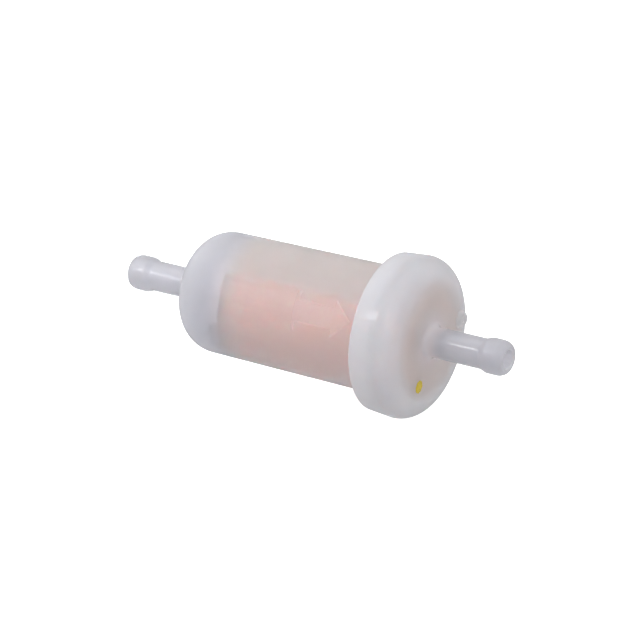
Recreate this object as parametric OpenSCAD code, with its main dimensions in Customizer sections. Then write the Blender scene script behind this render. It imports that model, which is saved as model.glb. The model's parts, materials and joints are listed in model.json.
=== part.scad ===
// Inline fuel filter: a moulded nylon case and cap joined by a spin weld, with a
// pleated paper element between them. Fuel enters the case, passes through the
// paper from outside to inside and leaves through the cap.
// The axis runs along +X from the inlet to the outlet, +Z is up, and the origin
// is the centre of the overall length on the axis. Millimetres.

/* [Hose connections] */
// Outside diameter of the nipple stems, for 8 mm hose
stem_d = 8.0; // [7:0.1:8.6]
// Outside diameter of the hose bead at each nipple's end
bead_d = 9.3; // [8.8:0.1:9.6]
// Diameter of the fuel passage
bore_d = 5.0; // [3:0.1:5.6]
// Length of the inlet nipple, from its tip to the case's end face
inlet_len = 20.5; // [16:0.5:30]
// Length of the outlet nipple, from its tip to the cap's end face
outlet_len = 22.5; // [16:0.5:30]
// Length of the cylindrical land of the bead, which the hose grips
land_len = 2.4; // [2:0.1:4]
// Fillet where the outlet nipple leaves the cap
outlet_fillet = 1.6; // [0.5:0.1:3]

/* [Case] */
// Outside diameter of the case beside its domed end
case_d = 32.2; // [32:0.1:34]
// Outside diameter of the case where it enters the cap
case_mouth_d = 33.2; // [33:0.1:35]
// Length of the case outside the cap
case_len = 58.4; // [50:0.1:80]
// Radius of the rounded end of the case
dome_r = 8.9; // [6:0.1:11]
// Wall thickness of the case
case_wall = 1.2; // [1:0.1:1.4]

/* [Cap] */
// Outside diameter of the cap at its open rim
cap_rim_d = 41.6; // [41:0.1:44]
// Outside diameter of the cap at its widest, before the shoulder
cap_d = 42.7; // [42:0.1:45]
// Width of the cap's plain band
cap_band = 6.7; // [6:0.1:12]
// Radius of the cap's shoulder
cap_shoulder = 5.8; // [4:0.1:6]
// Wall thickness of the cap's end face
cap_face = 1.8; // [1.4:0.1:2]

/* [Element] */
// Number of pleats
pleats = 48; // [24:1:54]
// Thickness of the filter paper
paper_t = 0.35; // [0.25:0.05:0.45]
// Outside diameter over the pleats
pleat_d = 28.2; // [24:0.1:28.2]
// Outside diameter of the perforated core tube
core_d = 12.4; // [12.4:0.1:14]
// Rows of holes along the core tube
core_rows = 9; // [4:1:10]
// Distance from the case's end face to the element
element_gap = 12.0; // [9:0.1:20]

/* [Details] */
// Height of the flow arrow above the case
arrow_h = 0.4; // [0.2:0.1:0.6]
// Length of the flow arrow
arrow_len = 17; // [12:0.5:24]
// Direction that the flow arrow faces, measured from the top towards the near side
arrow_angle = 65; // [0:5:180]
// Diameter of the round lug on the cap's end face
lug_d = 4.4; // [3:0.1:5]
// Height of the lug above the cap's end face
lug_h = 1.2; // [0.5:0.1:3]
// Diameter of the inspection paint mark
mark_d = 3.6; // [2:0.1:5]

/* [Hidden] */

$fn = 96;
arc_steps = 14;
fit_gap = 0.05;

nylon_case = [0.84, 0.84, 0.87];
nylon_cap = [0.93, 0.93, 0.95];
paper_pink = [0.87, 0.68, 0.62];
glue_cream = [0.90, 0.84, 0.76];
board_pink = [0.84, 0.66, 0.61];
paint_yellow = [0.86, 0.76, 0.16];

// Radii
stem_r = stem_d / 2;
bead_r = bead_d / 2;
bore_r = bore_d / 2;
case_r = case_d / 2;
mouth_r = case_mouth_d / 2;
cap_rim_r = cap_rim_d / 2;
cap_r = cap_d / 2;
pleat_r = pleat_d / 2;
core_r = core_d / 2;
core_wall = 0.8;

// Nipple ends
tip_r = bore_r + 0.65;
tip_round = 2.6;
tip_chamfer = 0.4;
bead_back = 2.4;
inlet_fillet = 0.6;

// Stations along the axis, from the inlet tip
face_x = inlet_len;
rim_x = face_x + case_len;
shoulder_x = rim_x + cap_band;
end_x = shoulder_x + cap_shoulder;
total = end_x + outlet_len;
chamber_end_x = end_x - cap_face;

// Weld: a flange on the case's mouth sits inside the cap's skirt against a ledge
skirt_r = 18.85;
flange_r = skirt_r - fit_gap;
flange_recess = 1.2;
flange_t = 2.5;
weld_t = 0.8;
cap_bore_r = 17.4;
flange_x = rim_x + flange_recess;
mouth_x = flange_x + flange_t;
ledge_x = mouth_x + weld_t;
cap_corner = 1.5;
rim_edge = 0.5;

// Spigot inside the cap that centres the element
spigot_r = 5.2;
spigot_len = 2.6;

// Element
plate_t = 1.2;
lip_t = 0.5;
lip_len = 2.2;
glue_t = 1.2;
plate_r = pleat_r + fit_gap + lip_t;
open_plate_r = 15.4;
open_hole_r = spigot_r + 0.1;
closed_x = face_x + element_gap;
glue_a_x = closed_x + plate_t;
paper_x = glue_a_x + glue_t;
open_x = chamber_end_x - plate_t;
glue_b_x = open_x - glue_t;
paper_len = glue_b_x - paper_x;
pleat_root_r = core_r + 0.4;
core_hole_r = 1.2;
core_columns = 6;

// Flow arrow
arrow_tip_gap = 2.9;
arrow_head_len = 5.3;
arrow_head_w = 9.4;
arrow_shaft_w = 5.6;
arrow_tail_w = 10.2;
arrow_tail_t = 0.9;

// Lug and paint mark on the cap's end face
lug_y = 14.5;
lug_z = 1.0;
lug_edge = 0.7;
dimple_r = 0.8;
dimple_depth = 0.4;
mark_y = -6.3;
mark_z = -10.4;
mark_t = 0.1;

// Points of an arc about [r, z], from angle a0 to a1; angle 0 is radial, 90 along +z
function arc(r, z, radius, a0, a1) = [
    for (i = [0 : arc_steps])
        let (a = a0 + (a1 - a0) * i / arc_steps)
        [r + radius * cos(a), z + radius * sin(a)]
];

// Outside of a nipple from its tip to its root, which is a face at z_root; dir is the way inwards
function nipple(z_tip, z_root, fillet, dir) = concat(
    [[bore_r + tip_chamfer, z_tip]],
    [
        for (i = [0 : arc_steps])
            let (a = 90 * i / arc_steps)
            [tip_r + (bead_r - tip_r) * sin(a), z_tip + dir * tip_round * (1 - cos(a))]
    ],
    [
        for (i = [0 : arc_steps])
            let (s = i / arc_steps)
            [
                stem_r + (bead_r - stem_r) * (1 + cos(180 * s)) / 2,
                z_tip + dir * (tip_round + land_len + bead_back * s)
            ]
    ],
    [
        for (i = [0 : arc_steps])
            let (a = 90 * i / arc_steps)
            [stem_r + fillet * (1 - cos(a)), z_root - dir * fillet * (1 - sin(a))]
    ]
);

// Turns a solid made about +Z, with z = 0 at the inlet tip, into the part's frame
module along_axis() {
    translate([-total / 2, 0, 0])
        rotate([0, 90, 0])
            children();
}

module turned(profile) {
    along_axis()
        rotate_extrude()
            polygon(profile);
}

// Plain ring or disc from z0 to z1
module ring(z0, z1, r_out, r_in = 0) {
    along_axis()
        translate([0, 0, z0])
            difference() {
                cylinder(r = r_out, h = z1 - z0);
                if (r_in > 0)
                    translate([0, 0, -1])
                        cylinder(r = r_in, h = z1 - z0 + 2);
            }
}

// Case: nipple, rounded end, tapered wall and weld flange in one moulding
case_profile = concat(
    nipple(0, face_x, inlet_fillet, 1),
    arc(case_r - dome_r, face_x + dome_r, dome_r, -90, 0),
    [
        [mouth_r, flange_x],
        [flange_r, flange_x],
        [flange_r, mouth_x],
        [mouth_r - case_wall, mouth_x]
    ],
    arc(case_r - dome_r, face_x + dome_r, dome_r - case_wall, 0, -90),
    [
        [bore_r, face_x + case_wall],
        [bore_r, tip_chamfer]
    ]
);

// Flat outline of the flow arrow, pointing along +x, with its tip at x = 0
arrow_outline = [
    [0, 0],
    [-arrow_head_len, arrow_head_w / 2],
    [-arrow_head_len, arrow_shaft_w / 2],
    [-arrow_len + arrow_tail_t, arrow_shaft_w / 2],
    [-arrow_len + arrow_tail_t, arrow_tail_w / 2],
    [-arrow_len, arrow_tail_w / 2],
    [-arrow_len, -arrow_tail_w / 2],
    [-arrow_len + arrow_tail_t, -arrow_tail_w / 2],
    [-arrow_len + arrow_tail_t, -arrow_shaft_w / 2],
    [-arrow_head_len, -arrow_shaft_w / 2],
    [-arrow_head_len, -arrow_head_w / 2]
];

// Wall of the case thickened by the arrow's height
function wall_r(z) = case_r + (mouth_r - case_r) * (z - face_x - dome_r) / (flange_x - face_x - dome_r);
arrow_z0 = rim_x - arrow_tip_gap - arrow_len - 1;
arrow_z1 = rim_x - arrow_tip_gap + 1;
arrow_skin = [
    [wall_r(arrow_z0) - case_wall / 2, arrow_z0],
    [wall_r(arrow_z0) + arrow_h, arrow_z0],
    [wall_r(arrow_z1) + arrow_h, arrow_z1],
    [wall_r(arrow_z1) - case_wall / 2, arrow_z1]
];

module flow_arrow() {
    intersection() {
        turned(arrow_skin);
        rotate([arrow_angle, 0, 0])
            translate([rim_x - arrow_tip_gap - total / 2, 0, 0])
                linear_extrude(height = 2 * mouth_r)
                    polygon(arrow_outline);
    }
}

module inlet_case() {
    color(nylon_case) {
        union() {
            turned(case_profile);
            flow_arrow();
        }
    }
}

function reversed(v) = [for (i = [len(v) - 1 : -1 : 0]) v[i]];

// Cap: skirt, band, shoulder, end face, nipple and element spigot in one moulding
cap_profile = concat(
    [[skirt_r, rim_x], [cap_rim_r - rim_edge, rim_x]],
    arc(cap_rim_r - rim_edge, rim_x + rim_edge, rim_edge, -90, 0),
    arc(cap_r - cap_shoulder, shoulder_x, cap_shoulder, 0, 90),
    reversed(nipple(total, end_x, outlet_fillet, -1)),
    [
        [bore_r, total - tip_chamfer],
        [bore_r, chamber_end_x - spigot_len],
        [spigot_r, chamber_end_x - spigot_len],
        [spigot_r, chamber_end_x]
    ],
    arc(cap_bore_r - cap_corner, chamber_end_x - cap_corner, cap_corner, 90, 0),
    [
        [cap_bore_r, ledge_x],
        [skirt_r, ledge_x]
    ]
);

// Round lug with a rounded edge and a gate dimple, rooted in the cap's end wall
module lug() {
    lug_r = lug_d / 2;
    lug_root = -cap_shoulder / 2;
    translate([end_x - total / 2, lug_y, lug_z])
        rotate([0, 90, 0])
            rotate_extrude()
                polygon(concat(
                    [[0, lug_root], [lug_r, lug_root]],
                    arc(lug_r - lug_edge, lug_h - lug_edge, lug_edge, 0, 90),
                    [[dimple_r, lug_h], [0, lug_h - dimple_depth]]
                ));
}

module outlet_cap() {
    color(nylon_cap) {
        union() {
            turned(cap_profile);
            lug();
        }
    }
}

module weld_bead() {
    color(nylon_cap)
        ring(mouth_x, ledge_x, flange_r, cap_bore_r);
}

// Pleats: the paper runs from tip to root and back; it is folded flat at both
pitch = 360 / pleats;
function polar(r, a) = [r * cos(a), r * sin(a)];
function half_pitch(r) = PI * r / pleats;
fold_depth = pleat_r - pleat_root_r;
notch_r = pleat_r - fold_depth * paper_t / 2 / half_pitch(pleat_r);
valley_r = pleat_root_r + fold_depth * paper_t / 2 / half_pitch((pleat_root_r + 2 * pleat_r) / 3);
tip_a = asin(paper_t / 2 / pleat_r);
root_a = asin(paper_t / 2 / pleat_root_r);

paper_outside = [
    for (i = [0 : pleats - 1])
        each [
            polar(pleat_r, i * pitch - tip_a),
            polar(pleat_r, i * pitch + tip_a),
            polar(valley_r, (i + 0.5) * pitch)
        ]
];
paper_inside = [
    for (i = [0 : pleats - 1])
        each [
            polar(notch_r, i * pitch),
            polar(pleat_root_r, (i + 0.5) * pitch - root_a),
            polar(pleat_root_r, (i + 0.5) * pitch + root_a)
        ]
];

module filter_paper() {
    color(paper_pink)
        along_axis()
            translate([0, 0, paper_x])
                linear_extrude(height = paper_len)
                    difference() {
                        polygon(paper_outside);
                        polygon(paper_inside);
                    }
}

// Glue line that closes the paper strip into a tube, in one valley between two pleats
seam_fill = 0.45;
seam_corner = polar(valley_r, pitch / 2);
seam_outline = [
    seam_corner,
    seam_corner + seam_fill * (polar(pleat_r, tip_a) - seam_corner),
    seam_corner + seam_fill * (polar(pleat_r, pitch - tip_a) - seam_corner)
];

module paper_seam() {
    color(glue_cream)
        along_axis()
            translate([0, 0, paper_x])
                linear_extrude(height = paper_len)
                    polygon(seam_outline);
}

// Perforated tube that keeps the pleats from folding inwards
module core_tube() {
    core_len = open_x - paper_x;
    row_gap = core_len / core_rows;
    color(nylon_case)
        along_axis()
            translate([0, 0, paper_x])
                difference() {
                    cylinder(r = core_r, h = core_len);
                    translate([0, 0, -1])
                        cylinder(r = core_r - core_wall, h = core_len + 2);
                    for (row = [0 : core_rows - 1], column = [0 : core_columns / 2 - 1])
                        translate([0, 0, (row + 0.5) * row_gap])
                            rotate([0, 90, (column + (row % 2) / 2) * 360 / core_columns])
                                cylinder(r = core_hole_r, h = 3 * core_r, center = true, $fn = 24);
                }
}

// Closed plate: a disc with a lip around the pleats
module closed_end_plate() {
    color(nylon_case)
        turned([
            [0, closed_x],
            [plate_r, closed_x],
            [plate_r, glue_a_x + lip_len],
            [plate_r - lip_t, glue_a_x + lip_len],
            [plate_r - lip_t, glue_a_x],
            [0, glue_a_x]
        ]);
}

// Open plate: a wider disc against the cap, with a lip around the pleats and a hole for the spigot
module open_end_plate() {
    color(board_pink)
        turned([
            [open_hole_r, open_x],
            [plate_r - lip_t, open_x],
            [plate_r - lip_t, open_x - lip_len],
            [plate_r, open_x - lip_len],
            [plate_r, open_x],
            [open_plate_r, open_x],
            [open_plate_r, chamber_end_x],
            [open_hole_r, chamber_end_x]
        ]);
}

module closed_end_adhesive() {
    color(glue_cream)
        ring(glue_a_x, paper_x, plate_r - lip_t);
}

module open_end_adhesive() {
    color(glue_cream)
        ring(glue_b_x, open_x, plate_r - lip_t, core_r + fit_gap);
}

module paint_mark() {
    color(paint_yellow)
        translate([end_x - total / 2, mark_y, mark_z])
            rotate([0, 90, 0])
                cylinder(r = mark_d / 2, h = mark_t, $fn = 48);
}

inlet_case();
outlet_cap();
weld_bead();
filter_paper();
paper_seam();
core_tube();
closed_end_plate();
open_end_plate();
closed_end_adhesive();
open_end_adhesive();
paint_mark();
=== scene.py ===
import json
import math
import random

import bmesh
import bpy
from mathutils import Matrix, Vector


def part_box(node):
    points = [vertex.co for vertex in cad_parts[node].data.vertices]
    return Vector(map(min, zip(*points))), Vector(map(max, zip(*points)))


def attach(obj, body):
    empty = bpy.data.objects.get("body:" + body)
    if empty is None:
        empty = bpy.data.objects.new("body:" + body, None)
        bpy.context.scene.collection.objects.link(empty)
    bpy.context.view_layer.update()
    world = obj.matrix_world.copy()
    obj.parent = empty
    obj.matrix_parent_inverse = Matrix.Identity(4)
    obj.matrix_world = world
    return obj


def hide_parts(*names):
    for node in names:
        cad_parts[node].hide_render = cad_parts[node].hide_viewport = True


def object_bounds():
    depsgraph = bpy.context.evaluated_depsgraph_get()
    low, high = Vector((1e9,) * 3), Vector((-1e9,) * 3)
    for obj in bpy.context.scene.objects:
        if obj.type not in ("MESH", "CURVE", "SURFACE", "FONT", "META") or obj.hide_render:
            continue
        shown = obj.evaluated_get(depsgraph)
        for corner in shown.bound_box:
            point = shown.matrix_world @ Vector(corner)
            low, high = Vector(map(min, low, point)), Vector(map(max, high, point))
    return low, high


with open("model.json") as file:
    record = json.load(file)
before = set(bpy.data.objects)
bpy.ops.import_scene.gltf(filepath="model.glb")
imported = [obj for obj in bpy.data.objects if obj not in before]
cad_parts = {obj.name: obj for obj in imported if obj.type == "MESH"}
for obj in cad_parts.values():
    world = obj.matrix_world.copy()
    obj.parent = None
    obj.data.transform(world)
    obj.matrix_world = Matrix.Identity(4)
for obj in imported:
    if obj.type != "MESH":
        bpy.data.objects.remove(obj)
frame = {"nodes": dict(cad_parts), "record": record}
cad_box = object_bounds()

MM = 0.001
NEAR = 0.05 * MM
FULL_TURN = 2 * math.pi
rng = random.Random(7)

# ---------------------------------------------------------------------------
# Stations and radii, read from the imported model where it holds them
# ---------------------------------------------------------------------------
mounts = {m["name"]: m for m in frame["record"]["mounts"]}
BEAD_R = mounts["outlet_barb"]["dims"]["r_mm"] * MM
BORE_R = mounts["outlet_port"]["dims"]["r_mm"] * MM

case_lo, case_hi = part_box("inlet_case")
cap_lo, cap_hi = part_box("outlet_cap")
weld_lo, weld_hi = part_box("weld_bead")
paper_lo, paper_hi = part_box("filter_paper")
closed_lo, closed_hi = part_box("closed_end_plate")
_, open_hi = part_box("open_end_plate")
glue_a_lo, glue_a_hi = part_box("closed_end_adhesive")
glue_b_lo, glue_b_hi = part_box("open_end_adhesive")
_, core_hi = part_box("core_tube")
mark_lo, mark_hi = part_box("paint_mark")

# Nipples
STEM_R = 4.0 * MM
TIP_R = BORE_R + 0.65 * MM
TIP_ROUND = 2.6 * MM
TIP_CHAMFER = 0.4 * MM
TIP_FLAT = 0.12 * MM
LAND = 2.4 * MM
BEAD_BACK = 2.4 * MM
INLET_LEN = 20.5 * MM
OUTLET_LEN = 22.5 * MM
INLET_FILLET = 0.6 * MM
OUTLET_FILLET = 1.6 * MM

# Case
CASE_R = 16.1 * MM
MOUTH_R = 16.6 * MM
DOME_R = 8.9 * MM
CASE_WALL = 1.2 * MM
FACE_X = case_lo.x + INLET_LEN
DOME_X = FACE_X + DOME_R
MOUTH_X = case_hi.x
FLANGE_R = case_hi.y
FLANGE_X = MOUTH_X - 2.5 * MM
FLANGE_EDGE = 0.2 * MM
FLANGE_FOOT = 0.4 * MM
BORE_MOUTH = 0.4 * MM

# Cap
RIM_X = cap_lo.x
END_X = cap_hi.x - OUTLET_LEN
CAP_R = cap_hi.y
CAP_RIM_R = CAP_R - 0.55 * MM
SHOULDER = 5.8 * MM
SHOULDER_X = END_X - SHOULDER
CHAMBER_X = open_hi.x
SKIRT_R = 18.85 * MM
CAP_BORE_R = 17.4 * MM
LEDGE_X = weld_hi.x
CAP_CORNER = 1.5 * MM
RIM_EDGE = 0.5 * MM
SKIRT_EDGE = 0.15 * MM
SPIGOT_R = 5.2 * MM
SPIGOT_LEN = 2.6 * MM

# Flow arrow on the case: height, tip, length, head, shaft, tail bar and the way it faces
ARROW_H = 0.3 * MM
ARROW_TIP_X = RIM_X - 2.9 * MM
ARROW_LEN = 17.0 * MM
ARROW_HEAD = 5.3 * MM
ARROW_HEAD_W = 9.4 * MM
ARROW_SHAFT_W = 5.6 * MM
ARROW_TAIL_W = 10.2 * MM
ARROW_TAIL = 0.9 * MM
ARROW_SOFT = 0.16 * MM
ARROW_ANGLE = math.radians(65)

# Lug on the cap's end face
LUG_Y = 14.5 * MM
LUG_Z = 1.0 * MM
LUG_R = 2.2 * MM
LUG_H = 1.2 * MM
LUG_TOP_R = LUG_R - 0.75 * MM
LUG_FOOT_R = LUG_R + 0.25 * MM
LUG_FULLNESS = 0.6
DIMPLE_TOP_R = 1.0 * MM
DIMPLE_FLOOR_R = 0.2 * MM
DIMPLE_DEPTH = 0.4 * MM

# Weld: how far its inner edge stands back from the cap's bore, and how unevenly
FLASH = 0.12 * MM
FLASH_SWING = 0.08 * MM

# Dab of paint: its size within the mark's circle, and how unevenly it is edged
DAB_SIZE = 0.93
DAB_SWING = 0.028125

# Element
PLEATS = 48
HALF_PAPER = 0.16 * MM
INNER_FOLD = 0.20 * MM
CORE_GAP = 0.45 * MM
PAPER_TWIST = math.radians(0.5)
PLATE_EDGE = 0.15 * MM
LIP = 0.5 * MM
OPEN_HOLE_R = 5.3 * MM
OPEN_GLUE_R = 6.25 * MM
CAP_RIB = 0.12 * MM

# Mesh steps: fine under the arrow and the lug and a little way round them, coarse elsewhere
ARROW_STEP = 0.14 * MM
LUG_STEP = 0.12 * MM
FINE_MARGIN = 1.2 * MM
COARSE_TURN = math.radians(2.2)
SHARP_EDGE = 40


# ---------------------------------------------------------------------------
# Curves and meshes
# ---------------------------------------------------------------------------
def clamp(t):
    return max(0.0, min(1.0, t))


def smoothstep(a, b, t):
    t = clamp((t - a) / (b - a))
    return t * t * (3 - 2 * t)


def steps(a, b, n):
    """The n + 1 values that cut the way from a to b into n equal steps."""
    return [a + (b - a) * i / n for i in range(n + 1)]


def arc(x, r, radius, a0, a1, n=18):
    """Points (x, r) of an arc; angle 0 is radial, 90 degrees is along +x."""
    points = []
    for degrees in steps(a0, a1, n):
        a = math.radians(degrees)
        points.append((x + radius * math.sin(a), r + radius * math.cos(a)))
    return points


def nipple(x_tip, x_root, fillet, way, n=16):
    """Outside of a nipple from its tip to its root; way is +1 or -1, the way inwards along x."""
    points = [(x_tip + way * TIP_FLAT, BORE_R + TIP_CHAMFER * 0.7)]
    for a in steps(0, math.pi / 2, n):
        x = x_tip + way * TIP_ROUND * (1 - math.cos(a))
        points.append((x, TIP_R + (BEAD_R - TIP_R) * math.sin(a)))
    for s in steps(0, 1, n):
        x = x_tip + way * (TIP_ROUND + LAND + BEAD_BACK * s)
        points.append((x, STEM_R + (BEAD_R - STEM_R) * (1 + math.cos(math.pi * s)) / 2))
    for a in steps(0, math.pi / 2, n):
        x = x_root - way * fillet * (1 - math.sin(a))
        points.append((x, STEM_R + fillet * (1 - math.cos(a))))
    return points


def spread(points, longest):
    """Adds points so that no step along the outline is longer than the given length."""
    out = []
    for (x0, r0), (x1, r1) in zip(points, points[1:] + points[:1]):
        n = max(1, math.ceil(math.hypot(x1 - x0, r1 - r0) / longest))
        out += [(x0 + (x1 - x0) * i / n, r0 + (r1 - r0) * i / n) for i in range(n)]
    return out


def drop_repeats(points, least=0.02 * MM):
    """Drops points that repeat the one before them."""
    out = []
    for p in points:
        if not out or math.hypot(p[0] - out[-1][0], p[1] - out[-1][1]) > least:
            out.append(p)
    if math.hypot(out[0][0] - out[-1][0], out[0][1] - out[-1][1]) <= least:
        out.pop()
    return out


def dense_angles(centre, half_width, fine):
    """Angles round a full turn, finer within half_width of centre."""
    rest = FULL_TURN - 2 * half_width
    n_fine = math.ceil(2 * half_width / fine)
    n_coarse = math.ceil(rest / COARSE_TURN)
    near = [centre - half_width + 2 * half_width * i / n_fine for i in range(n_fine)]
    far = [centre + half_width + rest * i / n_coarse for i in range(n_coarse)]
    return near + far


def even_angles(n):
    return [FULL_TURN * i / n for i in range(n)]


def round_axis(x, r, a):
    """Point at radius r and angle a round the axis. Angle 0 is +Z, turning towards -Y."""
    return (x, -r * math.sin(a), r * math.cos(a))


def mesh_object(name, verts, faces, sharp_deg=SHARP_EDGE):
    mesh = bpy.data.meshes.new(name)
    mesh.from_pydata(verts, [], faces)
    bm = bmesh.new()
    bm.from_mesh(mesh)
    bmesh.ops.recalc_face_normals(bm, faces=bm.faces)
    if bm.calc_volume(signed=True) < 0:
        bmesh.ops.reverse_faces(bm, faces=bm.faces)
    bm.to_mesh(mesh)
    bm.free()
    mesh.shade_smooth()
    mesh.set_sharp_from_angle(angle=math.radians(sharp_deg))
    obj = bpy.data.objects.new(name, mesh)
    bpy.context.scene.collection.objects.link(obj)
    return obj


def turned(name, outline, angles, relief=None):
    """Closed solid of revolution about the x axis.
    relief(x, r, angle) may move a point and returns its new (x, r)."""
    verts = []
    n, m = len(outline), len(angles)
    for a in angles:
        for x, r in outline:
            if relief:
                x, r = relief(x, r, a)
            verts.append(round_axis(x, r, a))
    faces = []
    for j in range(m):
        k = (j + 1) % m
        for i in range(n):
            o = (i + 1) % n
            faces.append((j * n + i, j * n + o, k * n + o, k * n + i))
    return mesh_object(name, verts, faces)


def turned_disc(name, outline, angles):
    """Solid of revolution whose outline starts and ends on the axis."""
    verts = [(outline[0][0], 0, 0), (outline[-1][0], 0, 0)]
    rim = outline[1:-1]
    n, m = len(rim), len(angles)
    for a in angles:
        verts += [round_axis(x, r, a) for x, r in rim]
    faces = []
    for j in range(m):
        here = 2 + j * n
        there = 2 + (j + 1) % m * n
        for i in range(n - 1):
            faces.append((here + i, here + i + 1, there + i + 1, there + i))
        faces.append((0, here, there))
        faces.append((here + n - 1, 1, there + n - 1))
    return mesh_object(name, verts, faces)


def extruded(name, outside, inside, x0, x1, rings, bend, sharp_deg=50):
    """Ring-shaped section, two loops of (y, z) with as many points each, carried from x0 to x1 and closed.
    bend(x, y, z) returns the point's new (y, z)."""
    section = outside + inside
    n = len(section)
    n_out = len(outside)
    verts = []
    for x in steps(x0, x1, rings):
        for y, z in section:
            y, z = bend(x, y, z)
            verts.append((x, y, z))
    faces = []
    for k in range(rings):
        for start, count in ((0, n_out), (n_out, n - n_out)):
            for i in range(count):
                a = k * n + start + i
                b = k * n + start + (i + 1) % count
                faces.append((a, b, b + n, a + n))
    for k in (0, rings):
        for i in range(n_out):
            a = k * n + i
            b = k * n + (i + 1) % n_out
            faces.append((a, b, b + n_out, a + n_out))
    return mesh_object(name, verts, faces, sharp_deg)


# ---------------------------------------------------------------------------
# Shader nodes
# ---------------------------------------------------------------------------
NOISE_LOW = 0.3
NOISE_HIGH = 0.7
GRAIN_DEPTH = 0.1 * MM


def add(tree, kind, **settings):
    node = tree.nodes.new(kind)
    for key, value in settings.items():
        setattr(node, key, value)
    return node


def principled(name, **values):
    mat = bpy.data.materials.new(name)
    mat.use_nodes = True
    bsdf = mat.node_tree.nodes["Principled BSDF"]
    for key, value in values.items():
        bsdf.inputs[key.replace("_", " ")].default_value = value
    return mat, mat.node_tree, bsdf


def noise(tree, scale, detail=3.0, roughness=0.5, stretch=(1, 1, 1)):
    """Noise in the part's own frame, in metres; stretch squeezes it along each axis."""
    coord = add(tree, "ShaderNodeTexCoord")
    mapping = add(tree, "ShaderNodeMapping")
    mapping.inputs["Scale"].default_value = stretch
    tex = add(tree, "ShaderNodeTexNoise")
    tex.inputs["Scale"].default_value = scale
    tex.inputs["Detail"].default_value = detail
    tex.inputs["Roughness"].default_value = roughness
    tree.links.new(coord.outputs["Object"], mapping.inputs["Vector"])
    tree.links.new(mapping.outputs["Vector"], tex.inputs["Vector"])
    return tex.outputs["Fac"]


def ramp(tree, value, stops):
    node = add(tree, "ShaderNodeValToRGB")
    while len(node.color_ramp.elements) < len(stops):
        node.color_ramp.elements.new(0.5)
    for element, (place, colour) in zip(node.color_ramp.elements, stops):
        element.position = place
        element.color = (*colour, 1)
    tree.links.new(value, node.inputs["Fac"])
    return node.outputs["Color"]


def tone(tree, scale, detail, dark, light):
    """Colour that wanders between dark and light."""
    return ramp(tree, noise(tree, scale, detail), [(NOISE_LOW, dark), (NOISE_HIGH, light)])


def map_range(tree, value, low, high, to_low=0.0, to_high=1.0, way="LINEAR"):
    node = add(tree, "ShaderNodeMapRange", interpolation_type=way)
    node.inputs["From Min"].default_value = low
    node.inputs["From Max"].default_value = high
    node.inputs["To Min"].default_value = to_low
    node.inputs["To Max"].default_value = to_high
    tree.links.new(value, node.inputs["Value"])
    return node.outputs["Result"]


def rescale(tree, value, low, high):
    """Takes a value that runs from 0 to 1 to the range from low to high."""
    return map_range(tree, value, 0.0, 1.0, low, high)


def ease(tree, value, low, high):
    """0 below low and 1 above high, eased between."""
    return map_range(tree, value, low, high, way="SMOOTHSTEP")


def math_node(tree, operation, *values):
    node = add(tree, "ShaderNodeMath", operation=operation)
    for socket, value in zip(node.inputs, values):
        if isinstance(value, (int, float)):
            socket.default_value = value
        else:
            tree.links.new(value, socket)
    return node.outputs["Value"]


def times(tree, first, second):
    return math_node(tree, "MULTIPLY", first, second)


def minus(tree, first, second):
    return math_node(tree, "SUBTRACT", first, second)


def blend(tree, factor, first, second):
    """Colour between two colour sockets."""
    node = add(tree, "ShaderNodeMix", data_type="RGBA")
    tree.links.new(factor, node.inputs["Factor"])
    tree.links.new(first, node.inputs["A"])
    tree.links.new(second, node.inputs["B"])
    return node.outputs["Result"]


def component(tree, vector, axis):
    split = add(tree, "ShaderNodeSeparateXYZ")
    tree.links.new(vector, split.inputs["Vector"])
    return split.outputs[axis]


def from_axis(tree, operation, output):
    """The place across the filter's axis, put through a vector operation."""
    coord = add(tree, "ShaderNodeTexCoord")
    flatten = add(tree, "ShaderNodeVectorMath", operation="MULTIPLY")
    flatten.inputs[1].default_value = (0, 1, 1)
    node = add(tree, "ShaderNodeVectorMath", operation=operation)
    tree.links.new(coord.outputs["Object"], flatten.inputs[0])
    tree.links.new(flatten.outputs["Vector"], node.inputs[0])
    return node.outputs[output]


def along_axis(tree, x0, x1):
    """0 before x0 and 1 after x1, eased between, along the filter's axis."""
    coord = add(tree, "ShaderNodeTexCoord")
    return ease(tree, component(tree, coord.outputs["Object"], "X"), x0, x1)


def across_axis(tree, r0, r1):
    """0 within r0 of the filter's axis and 1 beyond r1, eased between."""
    return ease(tree, from_axis(tree, "LENGTH", "Value"), r0, r1)


def upward(tree, low, high):
    """0 where the surface is lower round the axis than low and 1 above high; both are z over radius."""
    return ease(tree, component(tree, from_axis(tree, "NORMALIZE", "Vector"), "Z"), low, high)


def roughness_about(tree, bsdf, grain, middle, swing):
    rough = map_range(tree, noise(tree, grain, 3), NOISE_LOW, NOISE_HIGH, middle - swing, middle + swing)
    tree.links.new(rough, bsdf.inputs["Roughness"])


def bump(tree, bsdf, height, strength):
    node = add(tree, "ShaderNodeBump")
    node.inputs["Strength"].default_value = strength
    node.inputs["Distance"].default_value = GRAIN_DEPTH
    tree.links.new(height, node.inputs["Height"])
    tree.links.new(node.outputs["Normal"], bsdf.inputs["Normal"])


def let_lamps_in(tree, bsdf, tint):
    """Lets lamp light through to what is behind the wall, tinted as the wall would tint it."""
    path = add(tree, "ShaderNodeLightPath")
    clear = add(tree, "ShaderNodeBsdfTransparent")
    clear.inputs["Color"].default_value = (*tint, 1)
    mix = add(tree, "ShaderNodeMixShader")
    tree.links.new(path.outputs["Is Shadow Ray"], mix.inputs["Fac"])
    tree.links.new(bsdf.outputs["BSDF"], mix.inputs[1])
    tree.links.new(clear.outputs["BSDF"], mix.inputs[2])
    tree.links.new(mix.outputs["Shader"], tree.nodes["Material Output"].inputs["Surface"])


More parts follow.
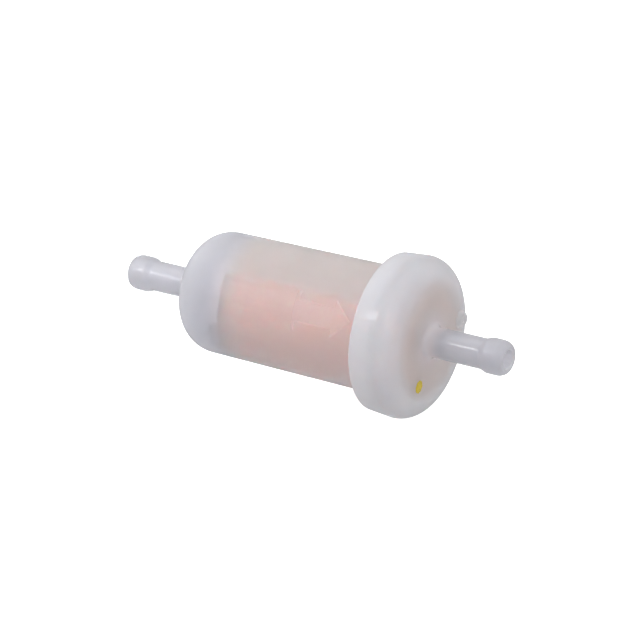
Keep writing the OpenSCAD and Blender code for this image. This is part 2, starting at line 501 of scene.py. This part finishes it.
# ---------------------------------------------------------------------------
# Materials
# ---------------------------------------------------------------------------
def nylon(name, tint, roughness, coat, coat_roughness):
    """Natural moulded nylon: milky, softly see-through, with a smooth skin."""
    mat, tree, bsdf = principled(
        name,
        IOR=1.45,
        Subsurface_Weight=1.0,
        Subsurface_Scale=4 * MM,
        Coat_Weight=coat,
        Coat_Roughness=coat_roughness,
    )
    bsdf.inputs["Subsurface Radius"].default_value = (1.0, 0.9, 0.85)
    roughness_about(tree, bsdf, 350, roughness, 0.04)
    bump(tree, bsdf, noise(tree, 1400, 2), 0.06)
    let_lamps_in(tree, bsdf, tint)
    return mat, tree, bsdf


def nylon_tone(tree, dark, light):
    return tone(tree, 90, 2, dark, light)


def passage(tree):
    """0 on the wall of the fuel passage and 1 outside it."""
    return across_axis(tree, BORE_R + 0.1 * MM, BORE_R + 0.5 * MM)


def case_material(name, coat, coat_roughness):
    """Thick and grey in the nipple and dome; the wall round the element is painted with the pink glow of
    the paper behind it.
    Its upper side carries a painted sheen, whiter and less see-through, in place of the reflection of the
    light above. The arrow's skin and edges are milkier."""
    mat, tree, bsdf = nylon(name, (0.72, 0.71, 0.71), 0.68, coat, coat_roughness)
    body = along_axis(tree, closed_lo.x - 1.0 * MM, paper_lo.x + 5.0 * MM)
    clearing = along_axis(tree, closed_lo.x - 5.0 * MM, paper_lo.x + 2.0 * MM)
    root = along_axis(tree, FACE_X - 3.0 * MM, FACE_X + 1.0 * MM)
    # Painted sheen: the upper side round the element is made whiter and less see-through, standing in for
    # the reflection of the light above
    painted_sheen = times(tree, body, upward(tree, 0.61, 0.79))
    lift = add(tree, "ShaderNodeAttribute", attribute_name="lift").outputs["Fac"]
    # 0 on the wall and on the arrow's face, 1 halfway up its edge
    edge = times(tree, lift, minus(tree, 4.0, times(tree, lift, 4.0)))

    stem = nylon_tone(tree, (0.635, 0.635, 0.685), (0.685, 0.685, 0.735))
    dome = nylon_tone(tree, (0.715, 0.715, 0.76), (0.765, 0.765, 0.81))
    # Painted glow: the wall round the element is tinted pink, standing in for the paper's light scattered
    # in the nylon
    wall_painted_glow = nylon_tone(tree, (0.905, 0.85, 0.86), (0.945, 0.90, 0.91))
    # Painted light: the passage wall is made pale, standing in for light scattered in through the nylon
    # where the bore would be shaded
    bore = nylon_tone(tree, (0.86, 0.86, 0.90), (0.90, 0.90, 0.94))
    # Tone of the painted sheen on the upper side
    painted_sheen_tone = nylon_tone(tree, (0.75, 0.71, 0.70), (0.80, 0.76, 0.75))
    wall = blend(tree, painted_sheen, wall_painted_glow, painted_sheen_tone)
    outside = blend(tree, body, blend(tree, root, stem, dome), wall)
    tree.links.new(blend(tree, passage(tree), bore, outside), bsdf.inputs["Base Color"])

    # The painted sheen also takes some see-through away from the upper side
    clear = minus(tree, rescale(tree, clearing, 0.60, 0.93), times(tree, painted_sheen, 0.40))
    haze = math_node(tree, "ADD", times(tree, edge, 0.10), times(tree, lift, 0.07))
    tree.links.new(minus(tree, clear, haze), bsdf.inputs["Transmission Weight"])
    return mat


def cap_material(name, coat, coat_roughness):
    """The element's end shows through the flat face.
    The band, the shoulder and the nipple's root are thicker and hide it. Round the root the colour is
    painted lighter and pinker, painted light in a corner that renders shaded."""
    mat, tree, bsdf = nylon(name, (0.85, 0.84, 0.85), 0.54, coat, coat_roughness)
    stem = along_axis(tree, END_X + 0.8 * MM, END_X + 5.0 * MM)
    rim = across_axis(tree, CAP_R - SHOULDER - 4.5 * MM, CAP_R - SHOULDER + 2.5 * MM)
    hub = across_axis(tree, SPIGOT_R - 1.0 * MM, SPIGOT_R + 4.0 * MM)

    shell = nylon_tone(tree, (0.80, 0.80, 0.84), (0.85, 0.85, 0.89))
    window = nylon_tone(tree, (0.93, 0.90, 0.885), (0.96, 0.93, 0.915))
    # Painted light: the nipple's root is coloured lighter and pinker than the face, standing in for light
    # in this shaded corner
    collar_painted_light = nylon_tone(tree, (0.90, 0.80, 0.83), (0.93, 0.83, 0.86))
    outlet = nylon_tone(tree, (0.62, 0.62, 0.67), (0.67, 0.67, 0.72))
    # Painted light: the outlet passage wall is paler than the nipple, standing in for light scattered into
    # the bore
    bore = nylon_tone(tree, (0.74, 0.74, 0.78), (0.78, 0.78, 0.82))
    around = blend(tree, rim, blend(tree, hub, collar_painted_light, window), shell)
    outside = blend(tree, stem, around, outlet)
    tree.links.new(blend(tree, passage(tree), bore, outside), bsdf.inputs["Base Color"])

    face = times(tree, hub, minus(tree, 1.0, rim))
    root = times(tree, minus(tree, 1.0, hub), minus(tree, 1.0, stem))
    clear = minus(tree, rescale(tree, face, 0.42, 0.62), times(tree, root, 0.22))
    tree.links.new(clear, bsdf.inputs["Transmission Weight"])
    return mat


def paper_material():
    """Filter paper, greyer and paler over the first few millimetres at the inlet end."""
    mat, tree, bsdf = principled(
        "filter_paper",
        IOR=1.45,
        Roughness=0.85,
        Subsurface_Weight=1.0,
        Subsurface_Scale=2 * MM,
    )
    dry = ramp(
        tree,
        noise(tree, 900, 5, 0.6, (1, 1.6, 1.6)),
        [(0.3, (0.78, 0.40, 0.35)), (0.5, (0.82, 0.45, 0.40)), (0.75, (0.86, 0.50, 0.45))],
    )
    # Greyer, paler tone over the first few millimetres at the inlet end
    inlet_end_grey = tone(tree, 300, 4, (0.68, 0.62, 0.62), (0.75, 0.69, 0.69))
    reach = along_axis(tree, paper_lo.x - 1.0 * MM, paper_lo.x + 6.5 * MM)
    tree.links.new(blend(tree, reach, inlet_end_grey, dry), bsdf.inputs["Base Color"])
    bump(tree, bsdf, noise(tree, 2500, 4), 0.35)
    return mat


def plain_material(name, dark, light, roughness, grain=600, **values):
    mat, tree, bsdf = principled(name, **values)
    tree.links.new(tone(tree, grain, 4, dark, light), bsdf.inputs["Base Color"])
    roughness_about(tree, bsdf, grain * 0.6, roughness, 0.05)
    bump(tree, bsdf, noise(tree, grain * 2, 3), 0.15)
    return mat


def floor_material():
    mat, _, bsdf = principled("floor", Roughness=0.9)
    bsdf.inputs["Base Color"].default_value = (0.8, 0.8, 0.8, 1)
    bsdf.inputs["Emission Color"].default_value = (1, 1, 1, 1)
    bsdf.inputs["Emission Strength"].default_value = 0.85
    return mat


# ---------------------------------------------------------------------------
# Pieces
# ---------------------------------------------------------------------------
def arrow_distance(u, v):
    """Signed distance to the arrow's outline, negative inside.
    u runs along the case from the arrow's tip, and v across it."""
    v = abs(v)
    tail = max(abs(u + ARROW_LEN - ARROW_TAIL / 2) - ARROW_TAIL / 2, v - ARROW_TAIL_W / 2)
    shaft = max(-ARROW_LEN - u, u + ARROW_HEAD, v - ARROW_SHAFT_W / 2)
    slope = math.atan2(ARROW_HEAD_W / 2, ARROW_HEAD)
    head = max(-ARROW_HEAD - u, v * math.cos(slope) + u * math.sin(slope))
    return min(tail, shaft, head)


def make_case():
    arrow_x0 = ARROW_TIP_X - ARROW_LEN - 1.5 * MM
    arrow_x1 = ARROW_TIP_X + 1.0 * MM

    def wall_r(x):
        return CASE_R + (MOUTH_R - CASE_R) * (x - DOME_X) / (FLANGE_X - DOME_X)

    def under_arrow(x, r):
        return arrow_x0 <= x <= arrow_x1 and r > CASE_R - 0.1 * MM

    def relief(x, r, a):
        if not under_arrow(x, r):
            return x, r
        turn = (a - ARROW_ANGLE + math.pi) % FULL_TURN - math.pi
        d = arrow_distance(x - ARROW_TIP_X, r * math.sin(turn))
        return x, r + ARROW_H * (1 - smoothstep(-ARROW_SOFT, ARROW_SOFT, d))

    outline = nipple(case_lo.x, FACE_X, INLET_FILLET, 1)
    outline += arc(DOME_X, CASE_R - DOME_R, DOME_R, -90, 0, 28)
    wall = steps(DOME_X, arrow_x0, 16)[1:-1]
    wall += steps(arrow_x0, arrow_x1, math.ceil((arrow_x1 - arrow_x0) / ARROW_STEP))
    wall.append(FLANGE_X - FLANGE_FOOT)
    outline += [(x, wall_r(x)) for x in wall]
    for a in steps(0, math.pi / 2, 5)[1:]:
        x = FLANGE_X - FLANGE_FOOT * (1 - math.sin(a))
        outline.append((x, MOUTH_R + FLANGE_FOOT * (1 - math.cos(a))))
    outline += arc(FLANGE_X + FLANGE_EDGE, FLANGE_R - FLANGE_EDGE, FLANGE_EDGE, -90, 0, 4)
    outline += arc(MOUTH_X - FLANGE_EDGE, FLANGE_R - FLANGE_EDGE, FLANGE_EDGE, 0, 90, 4)
    outline.append((MOUTH_X, MOUTH_R - CASE_WALL))
    outline += arc(DOME_X, CASE_R - DOME_R, DOME_R - CASE_WALL, 0, -90, 20)
    outline += arc(FACE_X + CASE_WALL - BORE_MOUTH, BORE_R + BORE_MOUTH, BORE_MOUTH, 90, 180, 5)
    outline.append((case_lo.x + TIP_CHAMFER, BORE_R))

    half_turn = math.asin((ARROW_TAIL_W / 2 + FINE_MARGIN) / CASE_R)
    angles = dense_angles(ARROW_ANGLE, half_turn, ARROW_STEP / CASE_R)
    shell = turned("inlet_case_shell", drop_repeats(outline), angles, relief)

    # How far the arrow lifts each point of the wall, for the material
    lift = shell.data.attributes.new("lift", "FLOAT", "POINT")
    for point, value in zip(shell.data.vertices, lift.data):
        x = point.co.x
        r = math.hypot(point.co.y, point.co.z)
        if under_arrow(x, r):
            value.value = clamp((r - wall_r(x)) / ARROW_H)
    return shell


def make_cap():
    flat_r = CAP_R - SHOULDER
    lug_inner_r = LUG_Y - LUG_R - 1.6 * MM
    root_r = STEM_R + OUTLET_FILLET

    def relief(x, r, a):
        if x < SHOULDER_X or x > END_X + 0.5 * MM or r < lug_inner_r:
            return x, r
        if x < CHAMBER_X + NEAR and r < CAP_BORE_R + NEAR:
            return x, r
        _, y, z = round_axis(x, r, a)
        d = math.hypot(y - LUG_Y, z - LUG_Z)
        rise = (1 - smoothstep(LUG_TOP_R, LUG_FOOT_R, d)) ** LUG_FULLNESS
        dimple = DIMPLE_DEPTH * (1 - smoothstep(DIMPLE_FLOOR_R, DIMPLE_TOP_R, d))
        return x + (END_X + LUG_H - x) * rise - dimple, r

    outline = [(RIM_X, SKIRT_R + SKIRT_EDGE)]
    outline += arc(RIM_X + RIM_EDGE, CAP_RIM_R - RIM_EDGE, RIM_EDGE, -90, 0, 6)
    outline += arc(SHOULDER_X, flat_r, SHOULDER, 0, 90, 36)
    n_fine = math.ceil((flat_r - lug_inner_r) / LUG_STEP)
    outline += [(END_X, r) for r in steps(flat_r, lug_inner_r, n_fine)[1:]]
    outline += [(END_X, r) for r in steps(lug_inner_r, root_r, 8)[1:-1]]
    outline += nipple(cap_hi.x, END_X, OUTLET_FILLET, -1)[::-1]
    outline += [
        (cap_hi.x - TIP_CHAMFER, BORE_R),
        (CHAMBER_X - SPIGOT_LEN, BORE_R),
        (CHAMBER_X - SPIGOT_LEN, SPIGOT_R),
        (CHAMBER_X, SPIGOT_R),
    ]
    outline += arc(CHAMBER_X - CAP_CORNER, CAP_BORE_R - CAP_CORNER, CAP_CORNER, 90, 0, 8)
    outline += [(LEDGE_X, CAP_BORE_R), (LEDGE_X, SKIRT_R), (RIM_X + SKIRT_EDGE, SKIRT_R)]

    lug_angle = math.atan2(-LUG_Y, LUG_Z)
    half_turn = math.asin((LUG_R + FINE_MARGIN) / LUG_Y)
    angles = dense_angles(lug_angle, half_turn, LUG_STEP / LUG_Y)
    return turned("outlet_cap_shell", drop_repeats(outline), angles, relief)


def make_weld():
    """Ring of melted nylon with an uneven inner edge."""
    outline = [
        (weld_lo.x, CAP_BORE_R),
        (weld_lo.x, weld_hi.y),
        (weld_hi.x, weld_hi.y),
        (weld_hi.x, CAP_BORE_R),
    ]
    waves = [(rng.uniform(5, 23), rng.uniform(0, 6.28)) for _ in range(4)]

    def relief(x, r, a):
        if r > CAP_BORE_R + NEAR:
            return x, r
        swell = sum(math.sin(round(f) * a + p) for f, p in waves) / len(waves)
        return x, r + FLASH + FLASH_SWING * swell

    return turned("weld_flash", spread(outline, 0.4 * MM), even_angles(240), relief)


def pleat_line():
    """Centre line of the pleats in the y, z plane: wide round folds outside, tight ones at the core."""
    pitch = FULL_TURN / PLEATS
    points = []

    def fold(a, centre, across, out):
        r = centre + out
        points.append((-r * math.sin(a) - across * math.cos(a), r * math.cos(a) - across * math.sin(a)))

    for k in range(PLEATS):
        a = (k + rng.uniform(-0.03, 0.03)) * pitch
        outer = rng.uniform(0.56, 0.61) * MM
        centre = paper_hi.z - HALF_PAPER - outer - rng.uniform(0.02, 0.10) * MM
        for t in range(-100, 101, 20):
            turn = math.radians(t)
            fold(a, centre, outer * math.sin(turn), outer * math.cos(turn))
        a = (k + 0.5) * pitch
        centre = core_hi.z + CORE_GAP + HALF_PAPER + INNER_FOLD
        for t in range(-90, 91, 30):
            turn = math.radians(t)
            fold(a, centre, INNER_FOLD * math.sin(turn), -INNER_FOLD * math.cos(turn))
    return points


def offset_loop(points, distance):
    out = []
    n = len(points)
    for i in range(n):
        y0, z0 = points[i - 1]
        y1, z1 = points[(i + 1) % n]
        size = math.hypot(y1 - y0, z1 - z0) or 1
        y, z = points[i]
        out.append((y + distance * (z1 - z0) / size, z - distance * (y1 - y0) / size))
    return out


def make_paper():
    centre = pleat_line()
    outside = offset_loop(centre, -HALF_PAPER)
    inside = offset_loop(centre, HALF_PAPER)

    def bend(x, y, z):
        t = (x - paper_lo.x) / (paper_hi.x - paper_lo.x)
        a = PAPER_TWIST * math.sin(math.pi * t) * math.sin(2.3 * t + 0.4)
        c = math.cos(a)
        s = math.sin(a)
        return y * c - z * s, y * s + z * c

    return extruded("pleated_paper", outside, inside, paper_lo.x, paper_hi.x, 24, bend)


def make_plate(name, x0, x1, x_lip, plate_r, hole_r=0):
    """End plate from x0 to x1, edges rounded. A thin lip stands up from the face at x1 as far as x_lip."""
    edge = PLATE_EDGE
    lip_r = closed_hi.z
    if plate_r > lip_r:
        rim = [
            (x0, plate_r - edge),
            (x0 + edge, plate_r),
            (x1 - edge, plate_r),
            (x1, plate_r - edge),
            (x1, lip_r),
        ]
    else:
        rim = [
            (x0, lip_r - 3 * edge),
            (x0 + edge, lip_r - edge),
            (x0 + 3 * edge, lip_r),
        ]
    rim += [
        (x_lip - edge, lip_r),
        (x_lip, lip_r - edge),
        (x_lip, lip_r - LIP + edge),
        (x_lip - edge, lip_r - LIP),
        (x1, lip_r - LIP),
    ]
    outline = [(x0, hole_r)] + rim + [(x1, hole_r)]
    make = turned if hole_r else turned_disc
    return make(name, outline, even_angles(160))


def make_glue_disc(name, lo, hi, r):
    outline = [(lo, 0), (lo, r * 0.5), (lo, r), (hi, r), (hi, r * 0.5), (hi, 0)]
    return turned_disc(name, outline, even_angles(140))


def make_glue_ring(name, lo, hi, r_out, r_in):
    outline = spread([(lo, r_in), (lo, r_out), (hi, r_out), (hi, r_in)], 1.5 * MM)
    return turned(name, outline, even_angles(140))


def make_mark():
    """Dab of paint: an uneven, crowned blob on the cap's end face."""
    centre_y = (mark_lo.y + mark_hi.y) / 2
    centre_z = (mark_lo.z + mark_hi.z) / 2
    radius = (mark_hi.y - mark_lo.y) / 2
    height = mark_hi.x - mark_lo.x
    waves = [(k, rng.uniform(0, 6.28), rng.uniform(0.2, 1.0)) for k in (2, 3, 5, 8)]
    around = 72
    rings = 10
    verts = [(mark_hi.x, centre_y, centre_z), (mark_lo.x, centre_y, centre_z)]
    faces = []
    for j, a in enumerate(even_angles(around)):
        wave = sum(w * math.sin(k * a + p) for k, p, w in waves)
        edge = radius * min(1, DAB_SIZE + DAB_SWING * wave)
        for s in steps(0, 1, rings)[1:]:
            x = mark_lo.x + height * (1 - s ** 4) ** 0.5
            verts.append((x, centre_y + edge * s * math.cos(a), centre_z + edge * s * math.sin(a)))
        here = 2 + j * rings
        there = 2 + (j + 1) % around * rings
        faces.append((0, here, there))
        for i in range(rings - 1):
            faces.append((here + i, here + i + 1, there + i + 1, there + i))
        faces.append((1, there + rings - 1, here + rings - 1))
    return mesh_object("paint_dab", verts, faces, 70)


def polish(obj, x0, x1):
    """Gives the faces between two stations the piece's second material."""
    for face in obj.data.polygons:
        face.material_index = int(x0 < face.center.x < x1)
    return obj


def place(obj, materials, node, slot):
    for material in materials:
        obj.data.materials.append(material)
    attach(obj, "root")
    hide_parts(node)


case_mats = [
    case_material("case_nylon", 0.08, 0.24),
    case_material("case_nylon_polished", 0.6, 0.12),
]
cap_mats = [
    cap_material("cap_nylon", 0.3, 0.12),
    cap_material("cap_nylon_polished", 0.5, 0.12),
]
paper_mat = paper_material()
board_mat = plain_material("end_plate_board", (0.84, 0.33, 0.22), (0.90, 0.40, 0.28), 0.8)
glue_mat = plain_material("cured_adhesive", (0.78, 0.66, 0.56), (0.84, 0.73, 0.63), 0.45)
core_mat = plain_material(
    "core_nylon", (0.80, 0.79, 0.80), (0.86, 0.85, 0.86), 0.45,
    Subsurface_Weight=1.0, Subsurface_Scale=4 * MM,
)
plate_mat = plain_material("closed_plate_nylon", (0.60, 0.59, 0.60), (0.66, 0.65, 0.66), 0.5)
weld_mat = plain_material(
    "weld_nylon", (0.82, 0.82, 0.85), (0.88, 0.88, 0.90), 0.5,
    Subsurface_Weight=0.5, Subsurface_Scale=2 * MM,
)
paint_mat = plain_material("inspection_paint", (0.68, 0.50, 0.015), (0.78, 0.60, 0.03), 0.35, 900)

# The nipples' skins are glossier than the rest of their mouldings
case = polish(make_case(), -math.inf, FACE_X - 0.3 * MM)
place(case, case_mats, "inlet_case", "case_nylon")
cap = polish(make_cap(), END_X + 0.2 * MM, math.inf)
place(cap, cap_mats, "outlet_cap", "cap_nylon")
place(make_weld(), [weld_mat], "weld_bead", "weld_nylon")
place(make_paper(), [paper_mat], "filter_paper", "filter_paper")
closed_plate = make_plate("closed_plate", closed_lo.x, glue_a_lo.x, closed_hi.x, closed_hi.z)
place(closed_plate, [plate_mat], "closed_end_plate", "core_nylon")
open_plate = make_plate(
    "open_plate", glue_b_hi.x, open_hi.x - CAP_RIB, open_hi.x, open_hi.z, OPEN_HOLE_R,
)
place(open_plate, [board_mat], "open_end_plate", "end_plate")
closed_glue = make_glue_disc("closed_glue", glue_a_lo.x, glue_a_hi.x, glue_a_hi.z)
place(closed_glue, [glue_mat], "closed_end_adhesive", "adhesive")
open_glue = make_glue_ring("open_glue", glue_b_lo.x, glue_b_hi.x, glue_b_hi.z, OPEN_GLUE_R)
place(open_glue, [glue_mat], "open_end_adhesive", "adhesive")
place(make_mark(), [paint_mat], "paint_mark", "paint")

for name, material in (("core_tube", core_mat), ("paper_seam", glue_mat)):
    node = frame["nodes"][name]
    node.data.materials.clear()
    node.data.materials.append(material)


# ---------------------------------------------------------------------------
# Floor, light and camera
# ---------------------------------------------------------------------------
def make_floor():
    """Plain pale floor under the part. It neither lights nor shades the part's underside."""
    half = 4.0
    z = cad_box[0][2]
    corners = [(-half, -half, z), (half, -half, z), (half, half, z), (-half, half, z)]
    mesh = bpy.data.meshes.new("floor")
    mesh.from_pydata(corners, [], [(0, 1, 2, 3)])
    floor = bpy.data.objects.new("floor", mesh)
    bpy.context.scene.collection.objects.link(floor)
    floor.data.materials.append(floor_material())
    floor.visible_diffuse = False
    floor.visible_glossy = False
    floor.visible_transmission = False
    floor.visible_shadow = False


def area_light(name, place_at, size, power, length=None, along=(0, 0, 1)):
    """Light aimed at the part; along is the way its length runs."""
    data = bpy.data.lights.new(name, "AREA")
    data.energy = power
    data.size = size
    if length:
        data.shape = "RECTANGLE"
        data.size_y = length
    light = bpy.data.objects.new(name, data)
    back = Vector(place_at).normalized()
    across = Vector(along).cross(back).normalized()
    aimed = Matrix((across, back.cross(across), back)).transposed().to_4x4()
    light.matrix_world = Matrix.Translation(place_at) @ aimed
    bpy.context.scene.collection.objects.link(light)
    return light


def reflection_only(light):
    """Leaves a light's highlight on the skin without lighting what is under it."""
    light.visible_diffuse = False
    light.visible_transmission = False


def make_world(below, above):
    """White surroundings that light the part more from above than from below."""
    world = bpy.data.worlds.new("studio")
    world.use_nodes = True
    tree = world.node_tree
    background = tree.nodes["Background"]
    background.inputs["Color"].default_value = (1, 1, 1, 1)
    coord = add(tree, "ShaderNodeTexCoord")
    height = component(tree, coord.outputs["Generated"], "Z")
    level = map_range(tree, height, -1, 1, below, above)
    path = add(tree, "ShaderNodeLightPath")
    strength = math_node(tree, "MAXIMUM", level, path.outputs["Is Camera Ray"])
    tree.links.new(strength, background.inputs["Strength"])
    bpy.context.scene.world = world


def make_camera():
    azimuth = math.radians(31.78)
    elevation = math.radians(22.66)
    distance = 1.0873
    aim = Vector((0.00095, -0.00012, -0.00144))
    back = Vector((
        math.sin(azimuth) * math.cos(elevation),
        -math.cos(azimuth) * math.cos(elevation),
        math.sin(elevation),
    ))
    data = bpy.data.cameras.new("camera")
    data.sensor_width = 36
    data.lens = 236.25
    data.clip_start = 0.05
    data.clip_end = 50
    camera = bpy.data.objects.new("camera", data)
    camera.location = aim + back * distance
    camera.rotation_euler = back.to_track_quat("Z", "Y").to_euler()
    bpy.context.scene.collection.objects.link(camera)
    bpy.context.scene.camera = camera


make_floor()
make_world(below=0.50, above=0.88)
area_light("key", (-0.46, -0.63, 0.545), size=0.17, power=1.25)
area_light("left", (-0.84, -0.24, 0.40), size=0.2, power=0.9)
sheen = area_light("sheen", (-0.44, -0.03, 0.78), size=0.3, power=1.1, length=0.88, along=(0, 1, 0))
reflection_only(sheen)
glint = area_light("glint", (0.46, -0.58, 0.60), size=0.13, power=0.9)
reflection_only(glint)
make_camera()
bpy.context.scene.view_settings.view_transform = "Standard"
